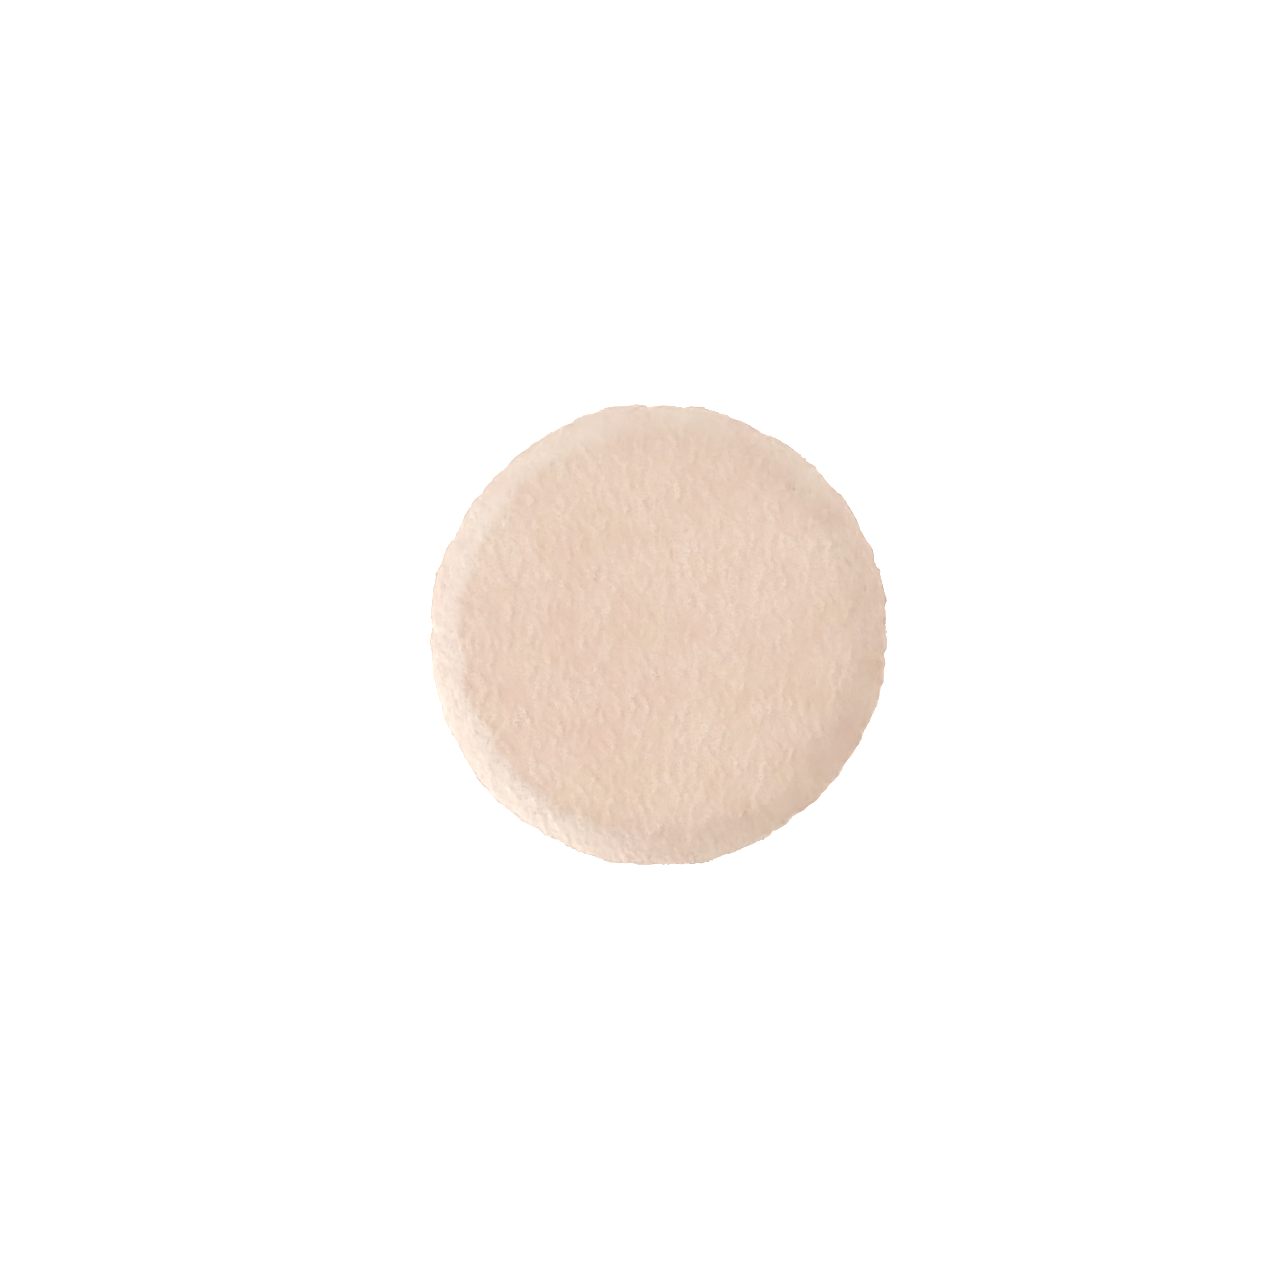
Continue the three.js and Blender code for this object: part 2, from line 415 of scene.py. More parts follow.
def pile_material(colours):
    """Cut cotton velour pile, brushed: matt fibres with a deeper foot, which is painted shade down in the
    pile.
    A strand's column on its map gives its dye, from rosy through pale to golden, with the painted light and
    shade of its tone. The loose ends catch light at a slant, which is the sheen."""
    material, tree = new_material("cut_cotton_velour_pile")
    place = add_node(tree, "ShaderNodeUVMap", {}, uv_map="OFBake")
    axes = add_node(tree, "ShaderNodeSeparateXYZ", {"Vector": place.outputs["UV"]})
    dye = add_node(tree, "ShaderNodeValToRGB", {"Fac": axes.outputs["X"]})
    dye.color_ramp.elements.new(0.5)
    shades = (colours.pile_rosy, colours.pile_light, colours.pile_golden)
    for stop, colour in zip(dye.color_ramp.elements, shades):
        stop.color = colour
    # From the foot's colour at the root, painted shade down in the pile, to the strand's dye towards its tip
    strand = add_node(tree, "ShaderNodeMix", {
        MIX_FACTOR: axes.outputs["Y"], MIX_FIRST: colours.pile_foot_shade, MIX_SECOND: dye.outputs["Color"],
    }, data_type="RGBA")
    surface = add_node(tree, "ShaderNodeBsdfPrincipled", {
        "Base Color": strand.outputs[MIX_RESULT], "Roughness": 0.9, "Specular IOR Level": 0.2,
        "Sheen Weight": 1.0, "Sheen Roughness": 0.4, "Sheen Tint": linear("#FFEDE0")})
    add_node(tree, "ShaderNodeOutputMaterial", {"Surface": surface.outputs["BSDF"]})
    return material


# Wales, courses and fluff of the knitted ground in millimetres, as its map is laid, and how much of its
# height is the knit
WALE_WIDTH = 0.7
COURSE_HEIGHT = 0.5
FLUFF_WIDTH = 0.25
KNIT_SHARE = 0.25


def ground_material(colours):
    """Weft-knitted cotton ground with the felted foot of the pile, in the foot's deeper colour, which is
    painted
    shade under the pile: fine rows of loops that catch light on their crests, blurred by short fibres."""
    material, tree = new_material("knitted_cotton_ground")
    place = add_node(tree, "ShaderNodeUVMap", {}, uv_map="cloth")
    axes = add_node(tree, "ShaderNodeSeparateXYZ", {"Vector": place.outputs["UV"]})
    waves = []
    for axis, width in (("X", WALE_WIDTH), ("Y", COURSE_HEIGHT)):
        turn = add_node(tree, "ShaderNodeMath", {
            0: axes.outputs[axis], 1: 2 * math.pi / width}, operation="MULTIPLY")
        waves.append(add_node(tree, "ShaderNodeMath", {0: turn.outputs[0]}, operation="SINE"))
    loops = add_node(tree, "ShaderNodeMath", {
        0: waves[0].outputs[0], 1: waves[1].outputs[0]}, operation="MULTIPLY")
    fluff = add_node(tree, "ShaderNodeTexNoise", {
        "Vector": place.outputs["UV"], "Scale": 1 / FLUFF_WIDTH, "Detail": 3.0})
    height = add_node(tree, "ShaderNodeMath", {
        0: loops.outputs[0], 1: KNIT_SHARE, 2: fluff.outputs["Fac"]}, operation="MULTIPLY_ADD")
    # The ground takes the foot's colour, painted shade under the pile, mixed with golden by the height of its
    # loops
    tone = add_node(tree, "ShaderNodeMix", {
        MIX_FACTOR: height.outputs[0], MIX_FIRST: colours.pile_foot_shade, MIX_SECOND: colours.pile_golden,
    }, data_type="RGBA")
    bump = add_node(tree, "ShaderNodeBump", {
        "Height": height.outputs[0], "Strength": 0.25, "Distance": 0.12 * MM})
    surface = add_node(tree, "ShaderNodeBsdfPrincipled", {
        "Base Color": tone.outputs[MIX_RESULT], "Roughness": 0.95, "Specular IOR Level": 0.15,
        "Sheen Weight": 0.3, "Normal": bump.outputs["Normal"]})
    add_node(tree, "ShaderNodeOutputMaterial", {"Surface": surface.outputs["BSDF"]})
    return material


# Cells of the foam are about 0.3 mm across; drawn at twice that so that they show
FOAM_CELL = 0.6 * MM


def foam_material(colours):
    """Slabstock polyurethane foam, sawn: open cells with pale walls and darker mouths, which are painted
    shade inside the cells; matt all over.
    """
    material, tree = new_material("open_cell_polyurethane_foam")
    place = add_node(tree, "ShaderNodeTexCoord", {})
    cells = add_node(tree, "ShaderNodeTexVoronoi", {
        "Vector": place.outputs["Object"], "Scale": 1 / FOAM_CELL, "Randomness": 0.9})
    walls = add_node(tree, "ShaderNodeMapRange", {
        "Value": cells.outputs["Distance"], "From Min": 0.25, "From Max": 0.6})
    # The cell mouths take the darker colour: painted shade inside the open cells
    tone = add_node(tree, "ShaderNodeMix", {
        MIX_FACTOR: walls.outputs["Result"], MIX_FIRST: linear("#DCCBAC"), MIX_SECOND: colours.foam,
    }, data_type="RGBA")
    bump = add_node(tree, "ShaderNodeBump", {
        "Height": walls.outputs["Result"], "Strength": 0.8, "Distance": 0.15 * MM})
    surface = add_node(tree, "ShaderNodeBsdfPrincipled", {
        "Base Color": tone.outputs[MIX_RESULT], "Roughness": 0.9, "Specular IOR Level": 0.3,
        "Normal": bump.outputs["Normal"]})
    add_node(tree, "ShaderNodeOutputMaterial", {"Surface": surface.outputs["BSDF"]})
    return material


# Fibres of a thread show as streaks: so many for each millimetre along a ply, and so many round it
STREAKS_ALONG = 1.5
STREAKS_ROUND = 9.0


def thread_material(colours):
    """Spun polyester sewing thread, plied and dyed to match: a soft gloss, with fine fibres that run
    along each ply as paler and darker streaks."""
    material, tree = new_material("spun_polyester_thread")
    place = add_node(tree, "ShaderNodeUVMap", {}, uv_map="cloth")
    stretched = add_node(tree, "ShaderNodeMapping", {
        "Vector": place.outputs["UV"], "Scale": (STREAKS_ALONG, STREAKS_ROUND, 1.0)})
    fibres = add_node(tree, "ShaderNodeTexNoise", {"Vector": stretched.outputs["Vector"], "Scale": 1.0})
    tone = add_node(tree, "ShaderNodeMix", {
        MIX_FACTOR: fibres.outputs["Fac"], MIX_FIRST: linear("#D3AF96"), MIX_SECOND: colours.thread,
    }, data_type="RGBA")
    surface = add_node(tree, "ShaderNodeBsdfPrincipled", {
        "Base Color": tone.outputs[MIX_RESULT], "Roughness": 0.55, "Specular IOR Level": 0.45,
        "Sheen Weight": 0.3})
    add_node(tree, "ShaderNodeOutputMaterial", {"Surface": surface.outputs["BSDF"]})
    return material


def dress(piece, material, slot, *nodes):
    """Gives a piece its material and its body, and hides the solids that it stands for; the slot is not used.
    """
    piece.data.materials.append(material)
    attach(piece, "root")
    if nodes:
        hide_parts(*nodes)


def swollen(points, held, side):
    """The points of a cover after its cloth is blown up from inside against its held seam. No point
    moves further than the cap."""
    size = math.isqrt(len(points))
    sheet = mesh_object("cover_sheet", points * SWELL_SCALE, grid_quads(size)[:, ::side])
    hold = sheet.vertex_groups.new(name="hold")
    hold.add(np.flatnonzero(held).tolist(), 1.0, "REPLACE")
    hold.add(np.flatnonzero(~held).tolist(), SWELL_HOLD, "REPLACE")
    cloth = sheet.modifiers.new("swell", "CLOTH")
    cloth.settings.use_pressure = True
    cloth.settings.uniform_pressure_force = SWELL_PRESSURE
    cloth.settings.effector_weights.gravity = 0.0
    cloth.settings.vertex_group_mass = "hold"
    cloth.point_cache.frame_start = 1
    cloth.point_cache.frame_end = SWELL_FRAMES
    for at in range(1, SWELL_FRAMES + 1):
        bpy.context.scene.frame_set(at)
    evaluated = sheet.evaluated_get(bpy.context.evaluated_depsgraph_get())
    moved = points_of(evaluated.data) / SWELL_SCALE - points
    bpy.context.scene.frame_set(1)
    bpy.data.meshes.remove(sheet.data)
    reach = np.linalg.norm(moved, axis=1, keepdims=True)
    return points + moved * np.minimum(1, SWELL_CAP / np.maximum(reach, TINY))


class PUFF_OT_covers(bpy.types.Operator):
    """Builds the two velour covers: knitted ground with the dense foot of the pile"""

    bl_idname = "puff.covers"
    bl_label = "Velour covers"

    def execute(self, context):
        sizes, colours = context.scene.puff_sizes, context.scene.puff_colours
        material = ground_material(colours)
        share, angle = wrapped_square(COVER_GRID)
        way = unrolled(sizes, share).ravel() / MM
        flat = np.stack([way * np.cos(angle.ravel()), way * np.sin(angle.ravel())], -1)
        for half, side in HALVES.items():
            start = cover_points(sizes, share, angle, sizes.pile_stand, side)
            skin = start
            skin = swollen(start, share.ravel() > HELD_FROM, side)

            # What lies on the table goes flat on it, with room for its pile
            skin[:, 2] = np.maximum(skin[:, 2], TABLE_HEIGHT + sizes.pile_stand)
            lining = cover_points(sizes, share, angle, sizes.pile_stand + sizes.base_thickness, side)
            faces = shell_faces(share.shape[0], side)
            cover = mesh_object(f"{half}_cover", np.concatenate([skin, lining + skin - start]), faces)
            lay_map(cover, "cloth", np.concatenate([flat, flat]), faces)
            dress(cover, material, "velour", f"{half}_panel")
        return {"FINISHED"}


def cover_skin(half):
    """The outer skin of a finished cover: its grid of points, and the grid of their normals."""
    mesh = bpy.data.objects[f"{half}_cover"].data
    size = 2 * COVER_GRID + 1
    normals = np.empty(len(mesh.vertices) * 3, np.float32)
    mesh.vertex_normals.foreach_get("vector", normals)
    points = points_of(mesh)[:size * size].reshape(size, size, 3)
    return points, normals.reshape(-1, 3)[:size * size].reshape(size, size, 3).astype(float)


# How much denser the pile stands on the rim than in the middle, which on the back lies on the table, the
# shares of the cover between which it gets denser, and how far roots stray round the puff, as an angle
RIM_CROWDING = {"face": 0.4, "back": 2.0}
CROWDING_SPAN = (CROWN_END - 0.05, CROWN_END + 0.1)
ROOT_STRAY = 0.004


def spread_roots(sizes, half, count, chance):
    """Where the strands stand: a sunflower spread, each next strand a golden angle round and one equal
    share of the cover's area further out, moved a little at random, where area on the rim counts for
    more. Gives share, angle and the room of each strand, as a share of a face strand's mean room."""
    share = np.linspace(0, PILE_END, PROFILE_STEPS)
    radius, height = cover_profile(sizes, share, sizes.pile_stand)
    ring = np.hypot(np.diff(radius), np.diff(height)) * (radius[1:] + radius[:-1])
    crowding = 1 + RIM_CROWDING[half] * stretch(share, *CROWDING_SPAN)
    area = np.concatenate([[0], np.cumsum(ring * crowding[1:])])
    index = np.arange(count) + chance.uniform(0, 1, count)
    golden = math.pi * (3 - math.sqrt(5))
    angle = (index * golden + chance.normal(0, ROOT_STRAY, count)) % (2 * math.pi)
    place = np.interp(index / count * area[-1], area, share)
    room = area[-1] / count / (ring.sum() / sizes.face_strands) / np.interp(place, share, crowding)
    return place, angle, room


# Tufts of pile that cling together: lattice they are spread on, length and width in mm, most turn as an
# angle, most bend, depth of a hollow beside a hill of 1, and how many cells away a tuft still counts
TUFT_CELL = (1.2, 0.6)
TUFT_LENGTH = 0.95
TUFT_WIDTH = 0.37
TUFT_TURN = 0.8
TUFT_BEND = 0.4
TUFT_HOLLOW = 0.5
TUFT_REACH = 2


def tuft_hills(along, across, seed):
    """Height of the tufts and its slopes along and across the nap, from places on the flat cover in mm.
    Each cell of a lattice holds one long hill or hollow at a random place and turn, which falls off as a
    bell curve of the distance along it and of the distance from its bent middle line."""
    table = np.random.default_rng(seed).uniform(-1, 1, (PATTERN_CELLS, PATTERN_CELLS, 5))
    height, slope_along, slope_across = np.zeros((3, len(along)))
    for i, j in np.ndindex(2 * TUFT_REACH + 1, 2 * TUFT_REACH + 1):
        row = np.floor(along / TUFT_CELL[0]).astype(int) + i - TUFT_REACH
        column = np.floor(across / TUFT_CELL[1]).astype(int) + j - TUFT_REACH
        tuft = table[row % PATTERN_CELLS, column % PATTERN_CELLS]
        shift_a, shift_c, turn, bend, rise = np.moveaxis(tuft, -1, 0)
        a = along - (row + 0.5 + 0.5 * shift_a) * TUFT_CELL[0]
        c = across - (column + 0.5 + 0.5 * shift_c) * TUFT_CELL[1]
        cos, sin = np.cos(turn * TUFT_TURN), np.sin(turn * TUFT_TURN)
        u, v = a * cos + c * sin, c * cos - a * sin
        curl = bend * TUFT_BEND
        v = v - curl * u * u
        rise = np.where(rise > 0, rise, TUFT_HOLLOW * rise)
        bell = rise * np.exp(-(u / TUFT_LENGTH) ** 2 - (v / TUFT_WIDTH) ** 2)
        down_v = -2 * v / TUFT_WIDTH ** 2 * bell
        down_u = -2 * u / TUFT_LENGTH ** 2 * bell - 2 * curl * u * down_v
        height += bell
        slope_along += down_u * cos - down_v * sin
        slope_across += down_u * sin + down_v * cos
    return height, slope_along, slope_across


# Random hills that make the pile uneven: their width in mm, and the seed of their pattern
CLUMPS = (1.6, 51)
SMALL_PATCHES = (4, 52)
LARGE_PATCHES = (11, 53)
SWIRLS = (4, 31)
LEANS = (2.5, 32)
FINE_FRINGE = (1.2, 54)
COARSE_FRINGE = (3, 56)
BORDER_HILLS = (3.5, 55)
SMALL_HUES = (3, 41)
LARGE_HUES = (8, 42)

# Tufts lose this much of their relief between these shares of the cover, where the pile spreads on the rim
FADE = 0.5
FADE_SPAN = (0.48, 0.6)

# How far the nap swirls from its way, as an angle, and how much its lean changes
SWIRL_TURN = 0.4
LEAN_CHANGE = 0.15

# The pile turns into the seam's groove between these shares, and loses this much of its rise there, so
# that it lies nearly level
LEVEL = 0.85
LEVEL_SPAN = (RIM_END - 0.05, RIM_END + 0.05)


def planted(sizes, half, side, count, chance):
    """The strands' roots and what the pile does there: places on the cover and on the flat cloth in mm, the
    tufts with their relief as a slope of the skin, clumps and patches, the way that strands stand before
    they lean, which is the skin's normal laid level in the groove, and the slope of the combed nap."""
    skin, normals = cover_skin(half)
    share, angle, room = spread_roots(sizes, half, count, chance)
    x, y = square_place(share, angle)
    normal = unit(sampled(normals, x, y))

    way = unrolled(sizes, share) / MM
    flat_x, flat_y = way * np.cos(angle), way * np.sin(angle)
    nap_cos, nap_sin = math.cos(sizes.nap_angle), math.sin(sizes.nap_angle)
    along, across = flat_x * nap_cos + flat_y * nap_sin, flat_y * nap_cos - flat_x * nap_sin
    hill, slope_along, slope_across = tuft_hills(along, across, TUFT_SEED + side)
    fade = 1 - FADE * stretch(share, *FADE_SPAN)

    nap = np.array([nap_cos, nap_sin, 0.0])
    nap_along = unit(nap - normal * (normal @ nap)[:, None])
    nap_across = np.cross(normal, nap_along) * side
    relief = nap_along * slope_along[:, None] + nap_across * slope_across[:, None]
    combed = turned(nap_along, nap_across, SWIRL_TURN * soft_noise(along, across, SWIRLS))
    lean = sizes.nap_lean * (1 + LEAN_CHANGE * soft_noise(along, across, LEANS))
    stance = normal.copy()
    stance[:, 2] *= 1 - LEVEL * stretch(share, *LEVEL_SPAN)
    return SimpleNamespace(
        share=share, angle=angle, room=room, root=sampled(skin, x, y), flat_x=flat_x, flat_y=flat_y,
        round_rim=angle * PUFF_RADIUS / MM, hill=hill, slope=slope_across, fade=fade,
        relief=relief * fade[:, None], clump=soft_noise(flat_x, flat_y, CLUMPS),
        patch=soft_noise(flat_x, flat_y, SMALL_PATCHES) + soft_noise(flat_x, flat_y, LARGE_PATCHES),
        stance=unit(stance), nap=combed * lean[:, None])


# Length of a strand as a share of the pile's stand: its mean and what tufts, clumps and chance add, what
# the uneven fringe adds on the rim from this share of the cover on, and what is cut off in the groove
LENGTH_MEAN = 1.1
LENGTH_BY_TUFT = 0.15
LENGTH_BY_CLUMP = 0.2
LENGTH_BY_CHANCE = 0.08
FINE_FRINGE_LENGTH = 0.14
COARSE_FRINGE_LENGTH = 0.2
FRINGE_START = 0.58
GROOVE_CUT = 0.25


def strand_lengths(sizes, stand, chance):
    """Lengths of the strands in metres: longer on the crests of tufts, uneven on the rim, where they make
    the outline ragged, and shorter in the groove."""
    share = LENGTH_MEAN + LENGTH_BY_TUFT * stand.hill + LENGTH_BY_CLUMP * stand.clump
    length = sizes.pile_stand * (share + chance.normal(0, LENGTH_BY_CHANCE, len(share)))
    level = 0 * stand.angle
    ragged = FINE_FRINGE_LENGTH * soft_noise(stand.round_rim, level, FINE_FRINGE)
    ragged = ragged + COARSE_FRINGE_LENGTH * soft_noise(stand.round_rim, level, COARSE_FRINGE)
    length = length + sizes.pile_stand * stretch(stand.share, FRINGE_START, RIM_END) * ragged
    return length * (1 - GROOVE_CUT * stretch(stand.share, RIM_END, LIP_END))


# Widths of strands: shares of the mean for the thinnest and the thickest, and what the rim adds, and past
# it, between these shares of the cover, the groove
WIDTH_RANGE = (0.75, 1.25)
WIDTH_BY_RIM = 0.5
WIDTH_BY_GROOVE = 0.4
GROOVE_SPAN = (0.68, 0.8)


def strand_widths(sizes, stand, chance):
    """Half widths of the strands' open ends in metres: by the square root of their room, at random, and
    wider on the rim and in the groove, where the pile is seen from its side."""
    width = sizes.strand_width / 2 * np.sqrt(stand.room)
    width = width * chance.uniform(*WIDTH_RANGE, len(width))
    rim = stretch(stand.share, FRINGE_START, RIM_END)
    groove = stretch(stand.share, *GROOVE_SPAN)
    return width * (1 + WIDTH_BY_RIM * rim + WIDTH_BY_GROOVE * groove)


# Paleness of a strand, from 0, where it took all of its dye: its mean, and what the crests and the slopes
# of tufts, clumps, patches and chance change, with the palest that a strand may be. The crests and slopes
# of tufts are painted light and shade: crests paler, hollows and the flank away from -X deeper
TONE_MEAN = 0.28
PAINTED_TUFT_LIGHT_AND_SHADE = 0.06
PAINTED_FLANK_LIGHT_AND_SHADE = 0.02
TONE_BY_CLUMP = 0.06
TONE_BY_PATCH = 0.075
TONE_BY_CHANCE = 0.006
TONE_MOST = 0.95

# The face's rim is painted pale, as painted light, most on the side at -X towards the key lamp, and a
# little deeper at +X, as painted shade: mean, and what one and two waves round it change
PAINTED_RIM_LIGHT_MEAN = 0.175
PAINTED_RIM_LIGHT_BY_SIDE = 0.26
PAINTED_RIM_LIGHT_BY_QUARTER = 0.1

# Inner border of the rim's painted light as a share of the cover, what the side, hills, clumps and patches
# change there, and how wide it is, also by the side
BORDER = 0.53
BORDER_BY_SIDE = 0.01
BORDER_BY_HILLS = 0.03
BORDER_BY_CLUMP = 0.02
BORDER_BY_PATCH = 0.01
BORDER_WIDTH = 0.1
BORDER_WIDTH_BY_SIDE = 0.05

# One side of the puff is painted deeper, as painted shade: how much, where, and from which share to which
PAINTED_SHADE = 0.1
PAINTED_SHADE_ANGLE = math.radians(-75)
PAINTED_SHADE_SPAN = (0.22, 0.42)


def strand_tones(stand, side, chance):
    """Paleness of the strands: crests of tufts are painted paler and their hollows and one flank deeper, as
    painted light and shade, and some patches are paler; the face's rim is painted pale past a wandering
    border, most at -X, as painted light; and a lobe round the puff is painted deeper, as painted shade."""
    # Painted light and shade of the tufts: crests paler, hollows and the flank away from -X deeper
    tuft = (PAINTED_TUFT_LIGHT_AND_SHADE * stand.hill - PAINTED_FLANK_LIGHT_AND_SHADE * stand.slope) * stand.fade
    tone = TONE_MEAN + tuft + TONE_BY_CLUMP * stand.clump + TONE_BY_PATCH * stand.patch
    tone = tone + chance.normal(0, TONE_BY_CHANCE, len(tone))
    sideways = np.cos(stand.angle)
    border = BORDER + BORDER_BY_SIDE * sideways
    border = border + BORDER_BY_HILLS * soft_noise(stand.round_rim, 0 * stand.angle, BORDER_HILLS)
    border = border + BORDER_BY_CLUMP * stand.clump + BORDER_BY_PATCH * stand.patch
    full = border + BORDER_WIDTH + BORDER_WIDTH_BY_SIDE * sideways
    # Painted light and shade: the face's rim is painted paler towards the key lamp at -X and deeper at +X
    painted_rim_light = PAINTED_RIM_LIGHT_MEAN - PAINTED_RIM_LIGHT_BY_SIDE * sideways + PAINTED_RIM_LIGHT_BY_QUARTER * np.sin(2 * stand.angle)
    tone = tone + painted_rim_light * (side > 0) * stretch(stand.share, border, full)
    # Painted shade: a lobe round the side at -75 degrees is painted deeper from the middle of the face out
    painted_shade = lobe(stand.angle, PAINTED_SHADE_ANGLE) * stretch(stand.share, *PAINTED_SHADE_SPAN)
    return np.clip(tone - PAINTED_SHADE * painted_shade, 0, TONE_MOST)


# What large patches of hue, other patches and chance add to small ones, which make a strand rosy or golden
HUE_BY_LARGE = 0.45
HUE_BY_PATCH = 0.35
HUE_BY_CHANCE = 0.2

# Corners of a strand: three round its open end and its root, and its four faces
END_TURNS = np.arange(3) * 2 * math.pi / 3
STRAND_FACES = np.array([[0, 1, 2], [1, 0, 3], [2, 1, 3], [0, 2, 3]])

# Place of a strand's corners on its map: across its own narrow column, and up from foot to tip
COLUMN_WIDTH = 0.024
STRAND_COLUMN = COLUMN_WIDTH * np.array([0.0, 0.5, 1.0, 0.5])
STRAND_RISE = np.array([0.97, 0.93, 0.97, 0.02])
MIDDLE_COLUMN = (1 - COLUMN_WIDTH) / 2


def strand_places(stand, side, chance):
    """Places of the strands' corners on their map. The palest column is in its middle, and a deeper strand
    lies further towards the rosy edge or the golden one, by the sign of its hue."""
    tone = strand_tones(stand, side, chance)
    hue = soft_noise(stand.flat_x, stand.flat_y, SMALL_HUES)
    hue = hue + HUE_BY_LARGE * soft_noise(stand.flat_x, stand.flat_y, LARGE_HUES)
    hue = hue + HUE_BY_PATCH * stand.patch + chance.normal(0, HUE_BY_CHANCE, len(tone))
    column = MIDDLE_COLUMN + np.where(hue > 0, MIDDLE_COLUMN, -MIDDLE_COLUMN) * (1 - tone)
    rise = np.broadcast_to(STRAND_RISE, (len(tone), len(STRAND_RISE)))
    return np.stack([column[:, None] + STRAND_COLUMN, rise], -1)


# How strongly strands lean towards the crest of their tuft, and how far chance turns them
CLING = 0.05
STRAY = 0.14

# Strands stay this far over the table, and this far from the seam's plane
TABLE_CLEARANCE = 0.03 * MM
SEAM_CLEARANCE = 0.02 * MM

# How much of a tuft's relief, and of its own roundness, a strand shows to the light
SHOWN_RELIEF = 0.185
SHOWN_ROUNDNESS = 0.04

# Most strands in one piece of the pile, of four triangles each
STRANDS_PER_PIECE = 48000


def build_pile(sizes, half, side, count, material):
    """The pile of one cover. A strand is narrow at its root and has three corners round its open end, one
    length from the root along the way it grows: its stance, leaning with the nap and towards the crest of
    its tuft. Ends stay clear of the table and of the seam's plane."""
    chance = np.random.default_rng(RANDOM_SEED + side)
    stand = planted(sizes, half, side, count, chance)
    stray = chance.normal(0, STRAY, (count, 3))
    grow = unit(stand.stance + stand.nap + CLING * stand.relief + stray)
    length = strand_lengths(sizes, stand, chance)
    first = unit(np.cross(grow, chance.normal(0, 1, (count, 3))))
    spokes = turned(first[:, None], np.cross(grow, first)[:, None], END_TURNS)
    width = strand_widths(sizes, stand, chance)
    ends = (stand.root + grow * length[:, None])[:, None] + spokes * width[:, None, None]
    ends[..., 2] = np.maximum(ends[..., 2], TABLE_HEIGHT + TABLE_CLEARANCE)
    seam = SEAM_HEIGHT + side * SEAM_CLEARANCE
    ends[..., 2] = np.where(side * (ends[..., 2] - seam) < 0, seam, ends[..., 2])
    corners = np.concatenate([ends, stand.root[:, None]], axis=1)

    # Each strand is lit as part of the cloth and its tuft, with a little of its own roundness
    shown = unit(stand.stance - SHOWN_RELIEF * stand.relief)[:, None]
    facing = np.concatenate([unit(shown + SHOWN_ROUNDNESS * spokes), shown], axis=1)
    places = strand_places(stand, side, chance)

    pieces = math.ceil(count / STRANDS_PER_PIECE)
    for number, part in enumerate(np.array_split(np.arange(count), pieces)):
        first_corner = corners.shape[1] * np.arange(len(part))[:, None, None]
        faces = (STRAND_FACES + first_corner).reshape(-1, 3)
        piece = mesh_object(f"{half}_pile_{number + 1}", corners[part].reshape(-1, 3), faces)
        lay_map(piece, "OFBake", places[part].reshape(-1, 2), faces)
        piece.data.normals_split_custom_set_from_vertices(facing[part].reshape(-1, 3))

        # Thin cotton fibres let light through, so they neither shade nor tint what stands beside them
        piece.visible_shadow = False
        piece.visible_diffuse = False
        dress(piece, material, "velour")


class PUFF_OT_pile(bpy.types.Operator):
    """Builds the standing pile of both covers, strand by strand, from the centre out"""

    bl_idname = "puff.pile"
    bl_label = "Velour pile"

    def execute(self, context):
        sizes, colours = context.scene.puff_sizes, context.scene.puff_colours
        material = pile_material(colours)
        counts = {"face": sizes.face_strands, "back": sizes.back_strands}
        for half, side in HALVES.items():
            build_pile(sizes, half, side, counts[half], material)
        return {"FINISHED"}


# Where the crown of a foam ply ends, as a share of the way from its centre to its edge
FOAM_CROWN_END = 0.75


def foam_top(sizes, share, crown):
    """Radius and height of a foam ply's outer side, which follows the cover's lining: a crown that falls
    with the square of the radius, then the same roll, cut short at the ply's edge."""
    depth = sizes.pile_stand + sizes.base_thickness + FOAM_CLEARANCE
    flat_radius = PUFF_RADIUS - sizes.rim_roll
    up = HALF_DEPTH - SWELL_ROOM - sizes.rim_lip - depth
    end = math.acos(((FOAM_EDGE - sizes.rim_lip) / up) ** (1 / ROLL_FLANK))
    way = stretch(share, 0, FOAM_CROWN_END)
    out, over = rolled(stretch(share, FOAM_CROWN_END, 1) * end)
    rise = crown - sizes.rim_lip - up
    height = sizes.rim_lip + up * over + rise * (1 - way * way)
    return flat_radius * way + (sizes.rim_roll - depth) * out, height


def foam_foot(sizes, share, edge_radius):
    """Radius and height of a foam ply's inner side: flat against the other ply, then an eased step up
    over the seam allowance to the same edge."""
    step_end = PUFF_RADIUS - sizes.seam_dip - sizes.seam_allowance
    radius = edge_radius * share
    rise = stretch(radius, step_end - sizes.foam_step, step_end)
    return radius, FOAM_FOOT + (FOAM_EDGE - FOAM_FOOT) * (1 - np.cos(math.pi * rise)) / 2


class PUFF_OT_filling(bpy.types.Operator):
    """Builds the two plies of foam that fill the covers"""

    bl_idname = "puff.filling"
    bl_label = "Foam filling"

    def execute(self, context):
        sizes, colours = context.scene.puff_sizes, context.scene.puff_colours
        material = foam_material(colours)
        share, angle = wrapped_square(FOAM_GRID)
        for half, side in HALVES.items():
            outer_radius, outer_height = foam_top(sizes, share, FOAM_CROWNS[half])
            inner_radius, inner_height = foam_foot(sizes, share, outer_radius.max())
            outer_height = sunk(sizes, outer_radius, angle, outer_height, side)
            points = np.concatenate([
                placed(outer_radius, angle, outer_height, side).reshape(-1, 3),
                placed(inner_radius, angle, inner_height, side).reshape(-1, 3)])
            ply = mesh_object(f"{half}_foam", points, shell_faces(share.shape[0], side))
            dress(ply, material, "foam", f"{half}_foam_ply")
        return {"FINISHED"}


# Plies of a thread, corners round each, how much thicker they are than three round plies that just fit,
# one turn of the twist, and the step from ring to ring. A corner of the path is rounded in two passes
THREAD_PLIES = 3
PLY_SIDES = 5
PLY_SWELL = 1.12
TWIST_LENGTH = 1.1 * MM
THREAD_STEP = 0.14 * MM
ROUNDING_PASSES = 2


def stitch_points(sizes, angle, along, across, height):
    """Points beside the stitch line, from angles on it, ways along and across it and heights."""
    radius = PUFF_RADIUS - sizes.stitch_inset
    return placed(radius + across, angle + along / radius, height, 1)


